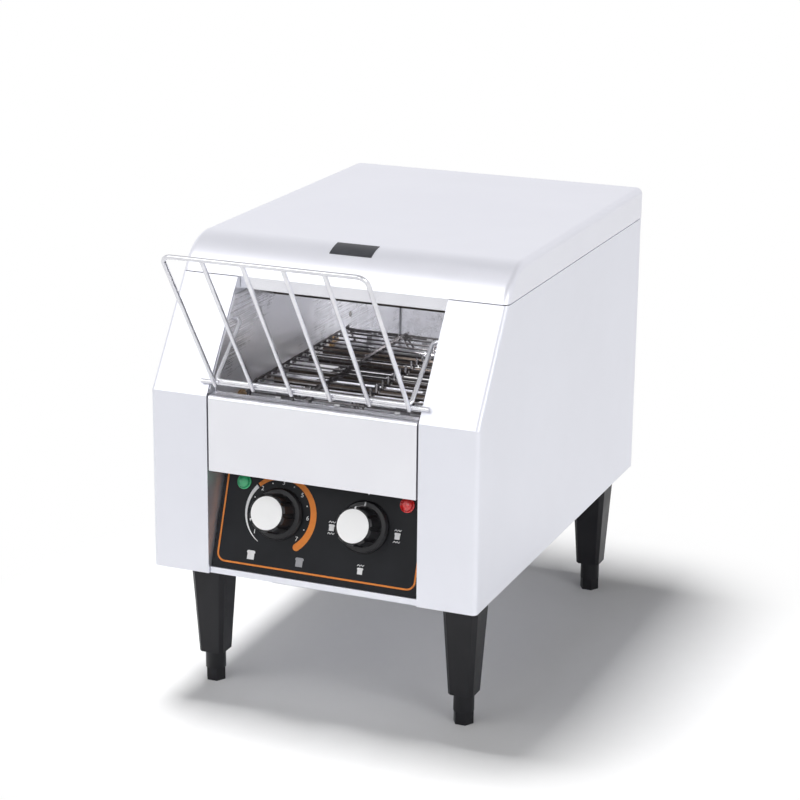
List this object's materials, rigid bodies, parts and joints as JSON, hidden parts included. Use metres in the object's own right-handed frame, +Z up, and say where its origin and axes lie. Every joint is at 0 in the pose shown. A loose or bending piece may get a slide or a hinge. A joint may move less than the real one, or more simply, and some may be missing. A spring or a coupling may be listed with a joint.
{
  "type": "conveyor toaster",
  "caption": "Countertop conveyor toaster: boxy steel casing on tapered legs, hinged wire loading rack at the front, wire belt through a heated tunnel, rear outlet.",
  "frame": {"origin": "on the floor, below the middle of the whole machine with its load rack and cord gland", "axes": "+Z up, +Y from the front (load rack) to the rear (outlet), +X to the right seen from the front"},
  "size_m": [0.288, 0.519, 0.4099],
  "materials": {
    "casing_steel": "fine brushed satin",
    "liner_steel": "plain sheet, heat toned",
    "panel_black": "semi-gloss",
    "knob_black": "satin moulded",
    "cap_white": "gloss",
    "green_lens": "clear coloured",
    "red_lens": "clear coloured",
    "leg_black": "satin moulded",
    "belt_wire": "heat darkened",
    "machined_steel": "turned",
    "chain_steel": "oiled",
    "bronze": "sintered",
    "heater_sheath": "oxidised",
    "motor_grey": "satin",
    "zinc": "zinc plated",
    "black_plastic": "moulded",
    "terminal_white": "moulded",
    "rack_wire": "bright plated"
  },
  "bodies": {
    "casing": {"base_plate": "casing_steel", "belt": "belt_wire", "control_panel": "panel_black", "cord_gland": "black_plastic", "discharge_chute": "liner_steel", "drive_chain": "chain_steel", "fan_frame": "black_plastic", "front_panel": "casing_steel", "gear_motor": "motor_grey", "green_lamp": "green_lens", "header_strip": "casing_steel", "heat_shield": "liner_steel", "heater_clips": "liner_steel", "left_side_panel": "casing_steel", "left_tunnel_wall": "liner_steel", "leg_bolts": "zinc", "leg_front_left": "leg_black", "leg_front_right": "leg_black", "leg_rear_left": "leg_black", "leg_rear_right": "leg_black", "lid": "casing_steel", "lower_heaters": "heater_sheath", "motor_bracket": "zinc", "rear_liner": "liner_steel", "rear_panel": "casing_steel", "red_lamp": "red_lens", "right_side_panel": "casing_steel", "right_tunnel_wall": "liner_steel", "selector_switch": "black_plastic", "shaft_bearings": "bronze", "speed_control": "black_plastic", "spindle_nuts": "zinc", "terminal_block": "terminal_white", "upper_heaters": "heater_sheath", "upper_reflector": "liner_steel", "vent_pan": "casing_steel"},
    "load_rack": {"rack_frame": "rack_wire", "rack_grid": "rack_wire", "rack_rod": "rack_wire"},
    "speed_dial": {"speed_knob": "knob_black", "speed_cap": "cap_white", "speed_spindle": "machined_steel"},
    "selector_dial": {"selector_knob": "knob_black", "selector_cap": "cap_white", "selector_spindle": "machined_steel"},
    "drive_axle": {"drive_shaft": "machined_steel", "drive_sprockets": "machined_steel", "driven_sprocket": "machined_steel"},
    "idler_axle": {"idler_shaft": "machined_steel", "idler_sprockets": "machined_steel"},
    "motor_axle": {"motor_output": "machined_steel", "motor_sprocket": "machined_steel"},
    "fan": {"fan_rotor": "black_plastic"},
    "tray": {"discharge_tray": "liner_steel"},
    "front_left_foot": {"foot_front_left": "leg_black"},
    "front_right_foot": {"foot_front_right": "leg_black"},
    "rear_left_foot": {"foot_rear_left": "leg_black"},
    "rear_right_foot": {"foot_rear_right": "leg_black"}
  },
  "joints": [
    {"name": "rack_hinge", "type": "hinge", "parent": "casing", "child": "load_rack", "pos_m": [0, -0.1215, 0.326], "axis": [1, 0, 0], "range_deg": [-60, 0]},
    {"name": "speed_turn", "type": "hinge", "parent": "casing", "child": "speed_dial", "pos_m": [-0.0383, -0.14952, 0.17156], "axis": [0, -0.9418, 0.3363], "range_deg": [-249, 15]},
    {"name": "selector_turn", "type": "hinge", "parent": "casing", "child": "selector_dial", "pos_m": [0.0383, -0.14952, 0.17156], "axis": [0, -0.9418, 0.3363], "range_deg": [-270, 0]},
    {"name": "drive_spin", "type": "hinge", "parent": "casing", "child": "drive_axle", "pos_m": [0, 0.081, 0.25251], "axis": [1, 0, 0], "continuous": true},
    {"name": "idler_spin", "type": "hinge", "parent": "casing", "child": "idler_axle", "pos_m": [0, -0.1095, 0.25251], "axis": [1, 0, 0], "continuous": true},
    {"name": "motor_spin", "type": "hinge", "parent": "casing", "child": "motor_axle", "pos_m": [0, 0.04516, 0.17125], "axis": [1, 0, 0], "continuous": true},
    {"name": "fan_spin", "type": "hinge", "parent": "casing", "child": "fan", "pos_m": [0, -0.0655, 0.1209], "axis": [0, 0, 1], "continuous": true},
    {"name": "tray_slide", "type": "slide", "parent": "casing", "child": "tray", "axis": [0, 1, 0], "range_m": [0, 0.115]},
    {"name": "front_left_screw", "type": "slide", "parent": "casing", "child": "front_left_foot", "axis": [0, 0, 1], "range_m": [-0.004, 0.014]},
    {"name": "front_right_screw", "type": "slide", "parent": "casing", "child": "front_right_foot", "axis": [0, 0, 1], "range_m": [-0.004, 0.014]},
    {"name": "rear_left_screw", "type": "slide", "parent": "casing", "child": "rear_left_foot", "axis": [0, 0, 1], "range_m": [-0.004, 0.014]},
    {"name": "rear_right_screw", "type": "slide", "parent": "casing", "child": "rear_right_foot", "axis": [0, 0, 1], "range_m": [-0.004, 0.014]}
  ],
  "couplings": [
    {"joint": "idler_spin", "follows": "drive_spin", "ratio": 1},
    {"joint": "motor_spin", "follows": "drive_spin", "ratio": 1.6667}
  ]
}
